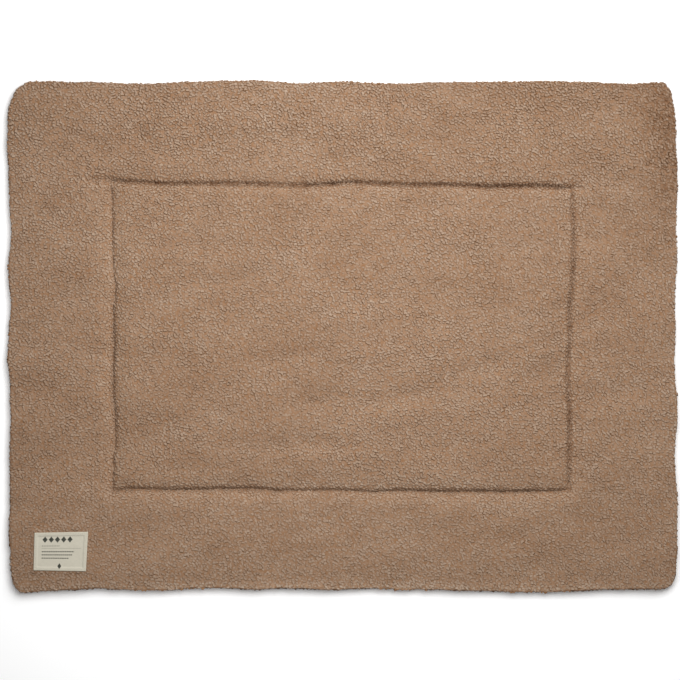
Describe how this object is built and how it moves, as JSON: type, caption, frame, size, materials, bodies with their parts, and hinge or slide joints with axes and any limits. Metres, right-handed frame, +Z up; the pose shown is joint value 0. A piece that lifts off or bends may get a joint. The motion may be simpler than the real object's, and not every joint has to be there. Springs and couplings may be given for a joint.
{
  "type": "playpen mat",
  "caption": "Padded rectangular playpen mat of teddy cloth with a rolled edge, one quilted rectangle and a small sewn-on label in a corner.",
  "frame": {"origin": "on the floor, under the middle of the mat's outline", "axes": "+X along the long side, +Y along the short side away from the label, +Z up through the padding; the label is in the corner at -X and -Y"},
  "size_m": [0.9548, 0.7306, 0.0223],
  "materials": {
    "teddy_cloth": "short curly pile, matt, warm mid brown",
    "label_cloth": "fine plain weave, cream, with hems folded under"
  },
  "bodies": {
    "root": {"mat": "teddy_cloth", "label": "label_cloth"}
  },
  "joints": []
}
